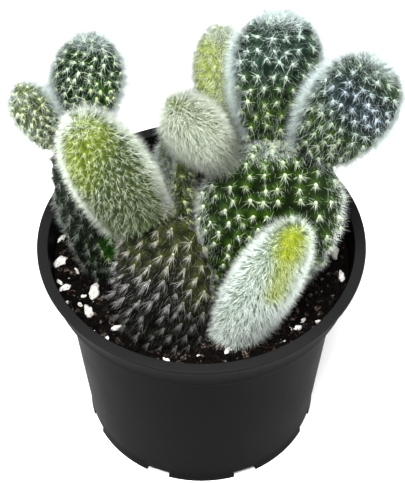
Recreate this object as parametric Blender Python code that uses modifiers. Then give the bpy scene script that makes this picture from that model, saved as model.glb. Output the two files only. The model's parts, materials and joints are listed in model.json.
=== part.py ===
"""Potted bunny ears cactus: a plastic nursery pot, its soil and thirteen jointed pads.

Each pad is an obovate, flattened body. Its skin is a net of areoles, and every areole is raised
as a tubercle with a tuft of short spines. Pads grow from the soil or from sockets in older pads.
"""
import math

import bmesh
import bpy
from mathutils import Vector, noise

MM = 0.001

# The origin lies under the middle of the whole plant, so the pot's axis is a little to the left.
POT_AXIS_X = -0.97 * MM

# Pot
RIM_Z = 84.5 * MM
RIM_R = 55.0 * MM
LIP_WIDTH = 3.7 * MM
LIP_THICK = 1.0 * MM
COLLAR_TOP_R = 52.6 * MM
COLLAR_BOTTOM_R = 51.0 * MM
COLLAR_HEIGHT = 12.8 * MM
WALL_TOP_R = 46.9 * MM
WALL_BOTTOM_R = 40.5 * MM
WALL_THICK = 1.1 * MM
FOOT_R = 40.7 * MM
FOOT_WIDTH = 4.2 * MM
FLOOR_Z = 3.2 * MM
FLOOR_THICK = 1.2 * MM
DRAIN_R = 4.0 * MM
POT_STEPS = 48
NOTCHES = 8
NOTCH_ANGLE = math.radians(12)
NOTCH_HEIGHT = 3.0 * MM
FLOOR_HOLES = 8
FLOOR_HOLE_R = 2.6 * MM
FLOOR_HOLE_RING = 29.0 * MM

# Soil
SOIL_DEPTH = 9.0 * MM
SOIL_Z = RIM_Z - SOIL_DEPTH
SOIL_RELIEF = 0.9 * MM
SOIL_RINGS = 9
SOIL_STEPS = 48

# Clearance between pieces that touch
GAP = 0.3 * MM

# Areoles
RING_PITCH = 0.88
TUFT_R = 0.24
TUBERCLE = 0.35
SOIL_BARE = 1.5 * MM


def pad(base, tip, across, width, thick, **shape):
    """Describe one pad: points in mm from the middle of the rim, sizes in mm."""
    values = {"neck": 0.45, "widest": 0.6, "shoulder": 0.8, "blunt": 2.0, "bow": (0, 0, 0),
              "pitch": 4.7, "tuft": 2.0, "sharp": True, "parent": None}
    values.update(shape)
    to_metres = {"base": Vector(base) * MM + Vector((0, 0, RIM_Z)), "across": Vector(across),
                 "tip": Vector(tip) * MM + Vector((0, 0, RIM_Z)), "bow": Vector(values["bow"]) * MM,
                 "half_width": width * MM / 2, "half_thick": thick * MM / 2,
                 "pitch": values["pitch"] * MM, "tuft": values["tuft"] * MM}
    values.update(to_metres)
    return values


PADS = {
    "pad_front_base": pad((-11.5, -35, -14), (-13, -20, 36), (1, -0.18, 0), 30, 11,
                          neck=0.75, widest=0.5, pitch=5.3),
    "pad_right_base": pad((10, -21, -14), (22, 1.5, 46), (1, 0.05, 0), 46, 9.5,
                          neck=0.3, widest=0.62, shoulder=1.2, bow=(5, 0, 0), pitch=5.8),
    "pad_left_base": pad((-29, -9, -14), (-41, 7, 46), (1, -0.1, 0.2), 23, 9,
                         neck=0.5, widest=0.55, shoulder=1.0, pitch=4.9, sharp=False),
    "pad_narrow": pad((-5.5, -14, -14), (-5.5, 2, 43), (0.1, 1, 0), 20, 5.5,
                      neck=0.5, shoulder=1.0, pitch=4.4, tuft=1.4, sharp=False),
    "pad_front_finger": pad((-18.5, -21.5, 32), (-37.4, -12, 70.8), (1, 0.2, 0.6), 22.8, 17.5,
                            neck=0.72, widest=0.5, shoulder=0.7, pitch=4.2, tuft=1.6, sharp=False,
                            parent="pad_front_base"),
    "pad_centre_top": pad((21.5, 2, 44.5), (24, 22, 80), (1, 0.15, 0), 26.5, 10.5,
                          widest=0.62, blunt=2.5, bow=(0.5, -1, 1), pitch=5.0,
                          parent="pad_right_base"),
    "pad_right_top": pad((34.5, -2, 41.5), (53, 1.5, 80.5), (0.8, -0.2, -0.5), 28, 12,
                         neck=0.42, widest=0.55, blunt=2.2, bow=(1, -3, 3), pitch=4.9,
                         parent="pad_right_base"),
    "pad_front_young": pad((9.5, -32, -12), (30.2, -24, 34.8), (1, 0.3, -0.5), 19.6, 14.4,
                           neck=0.7, widest=0.45, shoulder=0.6, pitch=4.0, tuft=1.6, sharp=False),
    "pad_middle_young": pad((8, -2.2, 39), (-8.2, -10.5, 75.5), (1, 0.4, 0.5), 19, 14.5,
                            neck=0.38, widest=0.58, shoulder=0.95, pitch=3.9, tuft=1.6,
                            sharp=False, parent="pad_right_base"),
    "pad_back_young": pad((13.2, 1.4, 39.5), (6.3, 28, 71), (1, 0.1, 0.1), 17.5, 7.5,
                          neck=0.3, widest=0.62, shoulder=1.0, bow=(-2.5, 2, -2), pitch=3.9, tuft=1.3,
                          sharp=False, parent="pad_right_base"),
    "pad_left_top": pad((-38.5, 7, 44), (-33.5, 16, 77), (1, 0, 0), 21.5, 9,
                        neck=0.4, shoulder=1.0, pitch=4.0, tuft=1.6, sharp=False,
                        parent="pad_left_base"),
    "pad_left_small": pad((-46.5, 3.5, 41), (-56, 1.5, 70.5), (1, 0.1, 0.3), 13.6, 9,
                          neck=0.4, shoulder=1.0, pitch=3.7, tuft=1.3, sharp=False,
                          parent="pad_left_base"),
    "pad_slim_young": pad((-7.5, -3, 22), (-12, 4, 43), (1, 0, 0), 4.6, 4.6,
                          neck=0.6, shoulder=1.0, bow=(-1.2, 0, 0), pitch=2.9, tuft=0.7,
                          sharp=False, parent="pad_narrow"),
}

COLOURS = {
    "pot": ((0.018, 0.018, 0.019), 0.45),
    "soil": ((0.028, 0.018, 0.013), 0.95),
    "pad_front_base": ((0.085, 0.105, 0.060), 0.7),
    "pad_right_base": ((0.050, 0.130, 0.045), 0.7),
    "pad_left_base": ((0.040, 0.085, 0.045), 0.7),
    "pad_narrow": ((0.120, 0.200, 0.080), 0.7),
    "pad_front_finger": ((0.300, 0.420, 0.120), 0.8),
    "pad_centre_top": ((0.060, 0.150, 0.070), 0.7),
    "pad_right_top": ((0.100, 0.160, 0.120), 0.7),
    "pad_front_young": ((0.560, 0.680, 0.280), 0.85),
    "pad_middle_young": ((0.420, 0.480, 0.330), 0.85),
    "pad_back_young": ((0.480, 0.600, 0.220), 0.85),
    "pad_left_top": ((0.050, 0.140, 0.070), 0.7),
    "pad_left_small": ((0.180, 0.260, 0.120), 0.8),
    "pad_slim_young": ((0.360, 0.430, 0.300), 0.85),
}


def clear_scene():
    for old in list(bpy.data.objects):
        bpy.data.objects.remove(old, do_unlink=True)


def new_collection(name):
    collection = bpy.data.collections.new(name)
    bpy.context.scene.collection.children.link(collection)
    return collection


def material(name):
    colour, roughness = COLOURS[name]
    made = bpy.data.materials.new(name)
    made.use_nodes = True
    shader = made.node_tree.nodes["Principled BSDF"]
    shader.inputs["Base Color"].default_value = (*colour, 1)
    shader.inputs["Roughness"].default_value = roughness
    shader.inputs["Metallic"].default_value = 0
    return made


def add_object(name, mesh, collection, parent):
    made = bpy.data.objects.new(name, mesh)
    collection.objects.link(made)
    made.parent = parent
    return made


def as_cutter(cutter):
    cutter.hide_render = True
    cutter.display_type = "WIRE"
    return cutter


def cut(target, cutter):
    modifier = target.modifiers.new("cut " + cutter.name, "BOOLEAN")
    modifier.operation = "DIFFERENCE"
    modifier.object = cutter


def smoothstep(low, high, value):
    t = min(max((value - low) / (high - low), 0.0), 1.0)
    return t * t * (3 - 2 * t)


# Rings and nets of points


def zipper(count_a, count_b, where_a, where_b):
    """Triangles between two closed rings, given each point's place (0 to 1) along its ring."""
    triangles = []
    i = 0
    j = min(range(count_b), key=lambda k: abs((where_b(k) - where_a(0) + 0.5) % 1 - 0.5))
    first = j
    start = where_a(0)
    start_b = start + (where_b(j) - start + 0.5) % 1 - 0.5
    while i < count_a or j - first < count_b:
        next_a = where_a(i + 1) if i < count_a else math.inf
        next_b = start_b + where_b(j + 1) - where_b(first) if j - first < count_b else math.inf
        if next_a <= next_b:
            triangles.append((("a", i % count_a), ("a", (i + 1) % count_a), ("b", j % count_b)))
            i += 1
        else:
            triangles.append((("a", i % count_a), ("b", (j + 1) % count_b), ("b", j % count_b)))
            j += 1
    return triangles


def ring_net(rings):
    """Net over rings of (count, shift) from one pole to the other.

    Returns the net's points as (ring, index) and its triangles, which face outwards. The poles
    are ring -1 and ring len(rings), with index 0.
    """
    triangles = []
    last = len(rings)
    count = rings[0][0]
    for k in range(count):
        triangles.append(((-1, 0), (0, (k + 1) % count), (0, k)))
    for ring in range(last - 1):
        count_a, shift_a = rings[ring]
        count_b, shift_b = rings[ring + 1]
        found = zipper(count_a, count_b,
                       lambda k: (k + shift_a) / count_a, lambda k: (k + shift_b) / count_b)
        for corners in found:
            triangles.append(tuple((ring if side == "a" else ring + 1, k) for side, k in corners))
    count = rings[-1][0]
    for k in range(count):
        triangles.append(((last - 1, k), (last - 1, (k + 1) % count), (last, 0)))
    return triangles


def outward(bm):
    bmesh.ops.recalc_face_normals(bm, faces=bm.faces)
    if bm.calc_volume(signed=True) < 0:
        bmesh.ops.reverse_faces(bm, faces=bm.faces)


def finished_mesh(name, points, faces):
    bm = bmesh.new()
    corners = [bm.verts.new(point) for point in points]
    for face in faces:
        bm.faces.new([corners[k] for k in face])
    outward(bm)
    mesh = bpy.data.meshes.new(name)
    bm.to_mesh(mesh)
    bm.free()
    return mesh


# Pads


def pad_centre(spec, u):
    return spec["base"].lerp(spec["tip"], u) + spec["bow"] * (4 * u * (1 - u))


def pad_girth(spec, u):
    """Share of the full width at u: a round foot, a shoulder, and an elliptic or blunter tip."""
    widest = spec["widest"]
    if u > widest:
        blunt = spec["blunt"]
        return max(1 - ((u - widest) / (1 - widest)) ** blunt, 0) ** (1 / blunt)
    body = spec["neck"] + (1 - spec["neck"]) * math.sin(math.pi / 2 * u / widest) ** spec["shoulder"]
    foot = 0.06
    if u < foot:
        body *= math.sqrt(max(1 - (1 - u / foot) ** 2, 0))
    return body


def pad_axes(spec, u):
    along = (spec["tip"] - spec["base"] + spec["bow"] * (4 * (1 - 2 * u))).normalized()
    across = (spec["across"] - along * spec["across"].dot(along)).normalized()
    return across, across.cross(along), along


def pad_point(spec, u, angle):
    across, out, _ = pad_axes(spec, u)
    girth = pad_girth(spec, u)
    return (pad_centre(spec, u) + across * (spec["half_width"] * girth * math.cos(angle))
            + out * (spec["half_thick"] * girth ** 0.8 * math.sin(angle)))


def pad_normal(spec, u, angle):
    step = 0.01
    low, high = max(u - step, 0.003), min(u + step, 0.997)
    along = pad_point(spec, high, angle) - pad_point(spec, low, angle)
    round_it = pad_point(spec, u, angle + 0.05) - pad_point(spec, u, angle - 0.05)
    return along.cross(round_it).normalized()


def girth_table(spec, u, samples=96):
    """Running length around the section at u, from angle 0."""
    lengths = [0.0]
    before = pad_point(spec, u, 0)
    for k in range(1, samples + 1):
        here = pad_point(spec, u, 2 * math.pi * k / samples)
        lengths.append(lengths[-1] + (here - before).length)
        before = here
    return lengths


def angle_at(lengths, share):
    """Angle at a share (0 to 1) of the way around, by length."""
    target = (share % 1) * lengths[-1]
    samples = len(lengths) - 1
    k = 0
    while k < samples - 1 and lengths[k + 1] < target:
        k += 1
    part = (target - lengths[k]) / (lengths[k + 1] - lengths[k])
    return 2 * math.pi * (k + part) / samples


def ring_places(spec, samples=200):
    """Places u of the areole rings, a pitch apart along the skin."""
    meridian = [0.0]
    before = Vector((pad_girth(spec, 0) * spec["half_width"] * 0.7, 0))
    length = (spec["tip"] - spec["base"]).length
    for k in range(1, samples + 1):
        u = k / samples
        here = Vector((pad_girth(spec, u) * spec["half_width"] * 0.7, u * length))
        meridian.append(meridian[-1] + (here - before).length)
        before = here
    step = spec["pitch"] * RING_PITCH
    count = max(int(meridian[-1] / step), 3)
    places = []
    for k in range(count):
        target = (k + 0.6) * meridian[-1] / (count + 0.2)
        at = next(i for i, run in enumerate(meridian) if run >= target)
        part = (target - meridian[at - 1]) / (meridian[at] - meridian[at - 1])
        places.append((at - 1 + part) / samples)
    return places


def bare_near(spec, children, point, u):
    """Share of the full tuft height at a point: none at the foot, in the soil or at a joint."""
    share = smoothstep(0.05, 0.14, u)
    if spec["parent"] is None:
        share = smoothstep(SOIL_Z + SOIL_BARE, SOIL_Z + 3 * SOIL_BARE, point.z)
    for child in children:
        reach = child["half_width"] * child["neck"]
        near = min((point - pad_centre(child, v)).length for v in (0, 0.08, 0.16, 0.24))
        share *= smoothstep(reach, reach + 2 * MM, near)
    return share


def pad_mesh(name, spec, children, grow=0.0):
    """Closed skin of a pad: an areole at each point of the net, a valley in each triangle."""
    places = ring_places(spec)
    tables = [girth_table(spec, u) for u in places]
    counts = [max(2 * round(table[-1] / spec["pitch"] / 2), 6) for table in tables]
    rings = [(count, 0.5 * (k % 2)) for k, count in enumerate(counts)]
    last = len(rings)

    def place(ring, index):
        """Place u and share around the section of a point of the net."""
        if ring < 0:
            return 0.0, 0.0
        if ring == last:
            return 1.0, 0.0
        return places[ring], ((index + rings[ring][1]) / rings[ring][0]) % 1

    def skin(u, share):
        """Point and outward direction of the smooth skin."""
        if u <= 0.002:
            return spec["base"], -pad_axes(spec, 0)[2]
        if u >= 0.998:
            return spec["tip"], pad_axes(spec, 1)[2]
        table = girth_table(spec, u)
        angle = angle_at(table, share)
        return pad_point(spec, u, angle), pad_normal(spec, u, angle)

    triangles = ring_net(rings)
    points = []
    around = {}
    for corners in triangles:
        known = [place(*corner) for corner in corners if 0 <= corner[0] < last]
        anchor = known[0][1]
        share = sum((s - anchor + 0.5) % 1 - 0.5 for _, s in known) / len(known) + anchor
        u = sum(place(*corner)[0] for corner in corners) / 3
        point, out = skin(u, share)
        valley = len(points)
        points.append(point + out * grow)
        for k in range(3):
            links = around.setdefault(corners[k], {})
            links[corners[(k + 1) % 3]] = (corners[(k + 2) % 3], valley)

    faces = []
    for areole, links in around.items():
        start = next(iter(links))
        cycle = []
        step = start
        while True:
            step, valley = links[step]
            cycle.append(valley)
            if step == start:
                break
        centre, out = skin(*place(*areole))
        foot = areole[0] < 0
        share = 0.0 if foot else bare_near(spec, children, centre, place(*areole)[0])
        top = len(points)
        points.append(centre + out * (grow + spec["tuft"] * share))
        if foot or not spec["sharp"]:
            faces += [(cycle[k], cycle[(k + 1) % len(cycle)], top) for k in range(len(cycle))]
            continue
        faces += tuft_faces(points, cycle, top, centre, out, grow, share, spec)
    return finished_mesh(name, points, faces)


def tuft_faces(points, cycle, top, centre, out, grow, share, spec):
    """Three-sided tuft on a low tubercle, inside the areole's ring of valleys."""
    side = out.orthogonal().normalized()
    other = out.cross(side)

    def turn(point):
        flat = point - centre
        return math.atan2(flat.dot(other), flat.dot(side)) / (2 * math.pi) % 1

    turns = [turn(points[valley]) for valley in cycle]
    forwards = sum((turns[(k + 1) % len(turns)] - turns[k]) % 1 for k in range(len(turns)))
    if forwards > 1.5:
        cycle = cycle[::-1]
        turns = turns[::-1]
    first = turns.index(min(turns))
    cycle = cycle[first:] + cycle[:first]
    turns = turns[first:] + turns[:first]
    reach = min((points[valley] - centre).length for valley in cycle)
    radius = min(spec["pitch"] * TUFT_R, reach * 0.5) + grow
    lift = grow + spec["tuft"] * TUBERCLE * share
    ring = []
    for k in range(3):
        angle = 2 * math.pi * (turns[0] + (k + 0.5) / 3)
        ring.append(len(points))
        points.append(centre + out * lift + (side * math.cos(angle) + other * math.sin(angle)) * radius)

    def where_outer(k):
        return turns[k % len(turns)] + k // len(turns)

    def where_inner(k):
        return turns[0] + (k + 0.5) / 3

    faces = []
    for corners in zipper(len(cycle), 3, where_outer, where_inner):
        faces.append(tuple(cycle[k] if side_name == "a" else ring[k] for side_name, k in corners))
    faces += [(ring[k], ring[(k + 1) % 3], top) for k in range(3)]
    return faces


# Pot and soil


def turned(name, profile, steps, collection, parent):
    """Solid of revolution from a closed profile of (radius, height) points."""
    mesh = bpy.data.meshes.new(name)
    points = [(radius, 0, height) for radius, height in profile]
    edges = [(k, (k + 1) % len(points)) for k in range(len(points))]
    mesh.from_pydata(points, edges, [])
    made = add_object(name, mesh, collection, parent)
    screw = made.modifiers.new("turn", "SCREW")
    screw.steps = steps
    screw.render_steps = steps
    screw.use_merge_vertices = True
    screw.merge_threshold = 0.00005
    return made


def wall_radius(height, inner=False):
    """Radius of the tapered wall below the collar."""
    top = RIM_Z - COLLAR_HEIGHT
    share = (height - FLOOR_Z) / (top - FLOOR_Z)
    radius = WALL_BOTTOM_R + (WALL_TOP_R - WALL_BOTTOM_R) * share
    return radius - WALL_THICK if inner else radius


def make_pot(parts, cutters, root):
    step_z = RIM_Z - COLLAR_HEIGHT
    floor_top = FLOOR_Z + FLOOR_THICK
    profile = [
        (RIM_R - 0.3 * MM, RIM_Z),
        (RIM_R, RIM_Z - 0.3 * MM),
        (RIM_R, RIM_Z - LIP_THICK),
        (COLLAR_TOP_R, RIM_Z - LIP_THICK - 0.5 * MM),
        (COLLAR_BOTTOM_R, step_z),
        (WALL_TOP_R, step_z - 0.6 * MM),
        (wall_radius(FLOOR_Z), FLOOR_Z),
        (FOOT_R, 0.0),
        (FOOT_R - FOOT_WIDTH, 0.0),
        (FOOT_R - FOOT_WIDTH, FLOOR_Z),
        (DRAIN_R, FLOOR_Z),
        (DRAIN_R, floor_top),
        (wall_radius(floor_top, inner=True), floor_top),
        (WALL_TOP_R - WALL_THICK, step_z + 0.6 * MM),
        (COLLAR_BOTTOM_R - WALL_THICK, step_z + 1.2 * MM),
        (RIM_R - LIP_WIDTH, RIM_Z),
    ]
    pot = turned("pot", profile, POT_STEPS, parts, root)
    pot.data.materials.append(material("pot"))
    cut(pot, foot_notches(cutters, root))
    cut(pot, floor_holes(cutters, root))


def foot_notches(cutters, root):
    """Notches in the foot, halfway between the eight feet."""
    bm = bmesh.new()
    depth = FOOT_WIDTH + 3 * MM
    width = 2 * FOOT_R * math.sin(NOTCH_ANGLE / 2)
    for k in range(NOTCHES):
        made = bmesh.ops.create_cube(bm, size=1)["verts"]
        bmesh.ops.scale(bm, vec=(depth, width, 2 * NOTCH_HEIGHT), verts=made)
        bmesh.ops.translate(bm, vec=(FOOT_R - FOOT_WIDTH / 2, 0, 0), verts=made)
        turn = math.radians(22.5) + 2 * math.pi * k / NOTCHES
        rotate_about_z(bm, made, turn)
    mesh = bpy.data.meshes.new("foot_notches")
    bm.to_mesh(mesh)
    bm.free()
    return as_cutter(add_object("foot_notches", mesh, cutters, root))


def floor_holes(cutters, root):
    """Round drain holes in the floor."""
    bm = bmesh.new()
    for k in range(FLOOR_HOLES):
        made = bmesh.ops.create_cone(bm, cap_ends=True, segments=8, radius1=FLOOR_HOLE_R,
                                     radius2=FLOOR_HOLE_R, depth=6 * FLOOR_THICK)["verts"]
        bmesh.ops.translate(bm, vec=(FLOOR_HOLE_RING, 0, FLOOR_Z), verts=made)
        rotate_about_z(bm, made, 2 * math.pi * (k + 0.56) / FLOOR_HOLES)
    mesh = bpy.data.meshes.new("floor_holes")
    bm.to_mesh(mesh)
    bm.free()
    return as_cutter(add_object("floor_holes", mesh, cutters, root))


def rotate_about_z(bm, verts, angle):
    turned_x, turned_y = math.cos(angle), math.sin(angle)
    for vert in verts:
        x, y, z = vert.co
        vert.co = (x * turned_x - y * turned_y, x * turned_y + y * turned_x, z)


def soil_height(x, y):
    """Crumbly top of the soil, by two octaves of noise."""
    coarse = noise.noise(Vector((x, y, 3.1 * MM)) / (9 * MM))
    fine = noise.noise(Vector((x, y, 7.7 * MM)) / (3.5 * MM))
    return SOIL_Z + SOIL_RELIEF * (0.9 * coarse + 0.6 * fine)


def make_soil(parts, root):
    """Plug of potting mix that fills the pot, with a crumbly top."""
    step_z = RIM_Z - COLLAR_HEIGHT
    floor_top = FLOOR_Z + FLOOR_THICK
    top_r = COLLAR_BOTTOM_R - WALL_THICK - GAP + 0.15 * MM
    side = [
        (top_r - 0.05 * MM, SOIL_Z - 1.2 * MM),
        (COLLAR_BOTTOM_R - WALL_THICK - GAP, step_z + 1.2 * MM + GAP),
        (WALL_TOP_R - WALL_THICK - GAP, step_z + 0.6 * MM),
        (wall_radius(floor_top, inner=True) - GAP, floor_top + GAP),
    ]
    points = [Vector((0, 0, soil_height(0, 0)))]
    for ring in range(1, SOIL_RINGS + 1):
        radius = top_r * ring / SOIL_RINGS
        for k in range(SOIL_STEPS):
            angle = 2 * math.pi * (k + 0.5 * (ring % 2)) / SOIL_STEPS
            x, y = radius * math.cos(angle), radius * math.sin(angle)
            points.append(Vector((x, y, soil_height(x, y))))
    for radius, height in side:
        for k in range(SOIL_STEPS):
            angle = 2 * math.pi * k / SOIL_STEPS
            points.append(Vector((radius * math.cos(angle), radius * math.sin(angle), height)))
    points.append(Vector((0, 0, floor_top + GAP)))
    faces = []
    rings = SOIL_RINGS + len(side)

    def at(ring, k):
        return 1 + ring * SOIL_STEPS + k % SOIL_STEPS

    for k in range(SOIL_STEPS):
        faces.append((0, at(0, k), at(0, k + 1)))
        faces.append((at(rings - 1, k + 1), at(rings - 1, k), len(points) - 1))
        for ring in range(rings - 1):
            a, b = at(ring, k), at(ring, k + 1)
            c, d = at(ring + 1, k + 1), at(ring + 1, k)
            faces += [(a, d, c), (a, c, b)]
    soil = add_object("soil", finished_mesh("soil", points, faces), parts, root)
    soil.data.materials.append(material("soil"))
    return soil


def make_pads(parts, cutters, root, soil):
    """Pads, each in a socket of its parent or in a plain hole in the soil."""
    made = {}
    for name, spec in PADS.items():
        children = [child for child in PADS.values() if child["parent"] == name]
        made[name] = add_object(name, pad_mesh(name, spec, children), parts, root)
        made[name].data.materials.append(material(name))
        made[name].data.shade_flat()
    for name, spec in PADS.items():
        children = [child for child in PADS.values() if child["parent"] == name]
        socket = as_cutter(add_object(name + "_socket", pad_mesh(name, spec, children, GAP),
                                      cutters, root))
        cut(soil if spec["parent"] is None else made[spec["parent"]], socket)


def main():
    clear_scene()
    parts = new_collection("potted_bunny_ears_cactus")
    cutters = new_collection("cutters")
    root = bpy.data.objects.new("potted_cactus", None)
    parts.objects.link(root)
    root.location = (POT_AXIS_X, 0, 0)
    make_pot(parts, cutters, root)
    soil = make_soil(parts, root)
    make_pads(parts, cutters, root, soil)


main()
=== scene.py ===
"""Looks of the potted bunny ears cactus: fuzzy pads, crumbly soil with perlite, satin black pot."""
import json
import math

import bmesh
import bpy
import numpy as np
from mathutils import Matrix, Vector, kdtree, noise

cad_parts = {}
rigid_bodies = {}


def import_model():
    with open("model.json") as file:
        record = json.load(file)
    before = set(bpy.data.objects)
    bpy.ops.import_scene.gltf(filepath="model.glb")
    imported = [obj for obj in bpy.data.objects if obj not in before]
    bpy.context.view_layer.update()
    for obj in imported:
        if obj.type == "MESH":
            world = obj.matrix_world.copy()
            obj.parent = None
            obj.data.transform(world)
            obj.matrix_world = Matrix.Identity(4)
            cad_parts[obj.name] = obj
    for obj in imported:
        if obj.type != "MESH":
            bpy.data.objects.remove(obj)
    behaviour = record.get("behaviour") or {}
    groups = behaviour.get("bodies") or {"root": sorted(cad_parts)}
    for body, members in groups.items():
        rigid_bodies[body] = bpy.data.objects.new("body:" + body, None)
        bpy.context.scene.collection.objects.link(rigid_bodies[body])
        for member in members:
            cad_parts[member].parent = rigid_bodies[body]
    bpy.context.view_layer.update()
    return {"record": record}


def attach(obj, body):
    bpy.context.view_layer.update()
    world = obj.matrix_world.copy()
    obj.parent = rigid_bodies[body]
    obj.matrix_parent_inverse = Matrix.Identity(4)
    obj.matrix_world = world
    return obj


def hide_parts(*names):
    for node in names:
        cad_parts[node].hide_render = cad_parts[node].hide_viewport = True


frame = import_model()

MM = 0.001

# The pot, as in the CAD model
POT_AXIS = Vector((-0.97 * MM, 0, 0))
RIM_Z = 84.5 * MM
RIM_R = 55.0 * MM
LIP_WIDTH = 3.7 * MM
LIP_THICK = 1.0 * MM
COLLAR_TOP_R = 52.6 * MM
COLLAR_BOTTOM_R = 51.0 * MM
COLLAR_HEIGHT = 12.8 * MM
WALL_TOP_R = 46.9 * MM
WALL_BOTTOM_R = 40.5 * MM
WALL_THICK = 1.1 * MM
FOOT_R = 40.7 * MM
FOOT_WIDTH = 4.2 * MM
FLOOR_Z = 3.2 * MM
FLOOR_THICK = 1.2 * MM
DRAIN_R = 4.0 * MM
NOTCHES = 8
NOTCH_ANGLE = math.radians(12)
NOTCH_HEIGHT = 3.0 * MM
FLOOR_HOLE_R = 2.6 * MM
FLOOR_HOLE_RING = 29.0 * MM
FLOOR_HOLE_TURN = 0.56  # of the first hole, in steps from notch to notch; the first notch has 0.5
SOIL_Z = RIM_Z - 9.0 * MM
SOIL_R = COLLAR_BOTTOM_R - WALL_THICK - 0.15 * MM

# The photograph's view of the rim's middle
IMAGE_SIZE = (405, 483)
RIM_PIXEL = (201.4, 239.9)
VIEW_ELEVATION = math.radians(49.5)
VIEW_DISTANCE = 0.6
FOCAL_PIXELS = 1794
SENSOR = 36
RIGHT = Vector((1, 0, 0))
UPWARD = Vector((0, math.sin(VIEW_ELEVATION), math.cos(VIEW_ELEVATION)))
FORWARD = Vector((0, math.cos(VIEW_ELEVATION), -math.sin(VIEW_ELEVATION)))
EYE = POT_AXIS + Vector((0, 0, RIM_Z)) - FORWARD * VIEW_DISTANCE

# Loose fibres at the foot of the front young pad, where the photograph shows them
FIBRES_PIXEL = (243, 338)

# Perlite grains that the photograph shows: pixel and width in mm
PERLITE_PIXELS = (
    (60, 239, 2.6), (58, 263, 3.6), (77, 271, 2.0), (56, 284, 1.8), (65, 289, 2.8), (82, 295, 2.2),
    (95, 292, 4.2), (67, 302, 1.6), (80, 304, 1.4), (89, 313, 3.4), (117, 329, 2.6), (95, 332, 1.2),
    (107, 339, 1.5), (335, 253, 3.6), (315, 268, 1.8), (343, 277, 3.2), (297, 329, 2.4),
    (303, 321, 1.6), (320, 322, 2.2), (285, 339, 1.4), (228, 351, 2.4), (199, 355, 1.0),
    (167, 361, 2.0),
)


# Pads


def pad(base, tip, across, width, thick, **shape):
    """Describe one pad: points in mm from the middle of the rim, sizes in mm.

    "pitch" is how far its areoles are apart and "bump" how high its tubercles are.
    """
    values = {"neck": 0.45, "widest": 0.6, "shoulder": 0.8, "blunt": 2.0, "bow": (0, 0, 0),
              "pitch": 4.7, "bump": 0.7, "parent": None, "seed": 0}
    values.update(shape)
    rim = np.array(POT_AXIS) + np.array((0, 0, RIM_Z))
    values["base"] = np.array(base) * MM + rim
    values["tip"] = np.array(tip) * MM + rim
    values["across"] = np.array(across, float)
    values["bow"] = np.array(values["bow"]) * MM
    values["half_width"] = width * MM / 2
    values["half_thick"] = thick * MM / 2
    values["pitch"] *= MM
    values["bump"] *= MM
    return values


PADS = {
    "pad_front_base": pad((-11.5, -35, -14), (-13, -20, 36), (1, -0.18, 0), 30, 11,
                          neck=0.75, widest=0.5, pitch=5.0, bump=1.2, seed=1),
    "pad_right_base": pad((10, -21, -14), (22, 1.5, 46), (1, 0.05, 0), 46, 9.5,
                          neck=0.3, widest=0.62, shoulder=1.2, bow=(5, 0, 0), pitch=5.4,
                          bump=1.35, seed=2),
    "pad_left_base": pad((-29, -9, -14), (-41, 7, 46), (1, -0.1, 0.2), 23, 9,
                         neck=0.5, widest=0.55, shoulder=1.0, pitch=4.3, bump=1.0, seed=3),
    "pad_narrow": pad((-5.5, -14, -14), (-5.5, 2, 43), (0.1, 1, 0), 20, 5.5,
                      neck=0.5, shoulder=1.0, pitch=4.2, bump=0.9, seed=4),
    "pad_front_finger": pad((-18.5, -21.5, 32), (-37.4, -12, 70.8), (1, 0.2, 0.6), 22.8, 17.5,
                            neck=0.72, widest=0.5, shoulder=0.7, pitch=2.3, bump=0.35,
                            parent="pad_front_base", seed=5),
    "pad_centre_top": pad((21.5, 2, 44.5), (24, 22, 80), (1, 0.15, 0), 26.5, 10.5,
                          widest=0.62, blunt=2.5, bow=(0.5, -1, 1), pitch=4.5, bump=1.0,
                          parent="pad_right_base", seed=6),
    "pad_right_top": pad((34.5, -2, 41.5), (53, 1.5, 80.5), (0.8, -0.2, -0.5), 26.4, 11.5,
                         neck=0.42, widest=0.55, blunt=2.2, bow=(1, -3, 3), pitch=3.9,
                         bump=0.8, parent="pad_right_base", seed=7),
    "pad_front_young": pad((9.5, -32, -12), (30.2, -24, 34.8), (1, 0.3, -0.5), 19.6, 14.4,
                           neck=0.7, widest=0.45, shoulder=0.6, pitch=2.9, bump=0.25, seed=8),
    "pad_middle_young": pad((8, -2.2, 39.5), (-8.6, -9.8, 74.4), (1, 0.4, 0.5), 15.6, 12.5,
                            neck=0.38, widest=0.58, shoulder=0.95, pitch=2.8, bump=0.35,
                            parent="pad_right_base", seed=9),
    "pad_back_young": pad((13.2, 1.4, 39.5), (6.3, 28, 71), (1, 0.1, 0.1), 17.5, 7.5,
                          neck=0.3, widest=0.62, shoulder=1.0, bow=(-2.5, 2, -2), pitch=3.0,
                          bump=0.4, parent="pad_right_base", seed=10),
    "pad_left_top": pad((-38.5, 7, 44), (-33.5, 16, 77), (1, 0, 0), 21.5, 9,
                        neck=0.4, shoulder=1.0, pitch=3.2, bump=0.7, parent="pad_left_base",
                        seed=11),
    "pad_left_small": pad((-46.5, 3.5, 41), (-55.6, 1.6, 69.6), (1, 0.1, 0.3), 12.6, 8.4,
                          neck=0.4, shoulder=1.0, pitch=2.8, bump=0.5, parent="pad_left_base",
                          seed=12),
    "pad_slim_young": pad((-7.5, -3, 22), (-12, 4, 43), (1, 0, 0), 4.6, 4.6,
                          neck=0.6, shoulder=1.0, bow=(-1.2, 0, 0), pitch=2.2, bump=0.2,
                          parent="pad_narrow", seed=13),
}

# Wool of the grown pads' margins: colour at the root and at the end, in hundredths
WOOL = ((42, 48, 47), (62, 69, 68))

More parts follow.
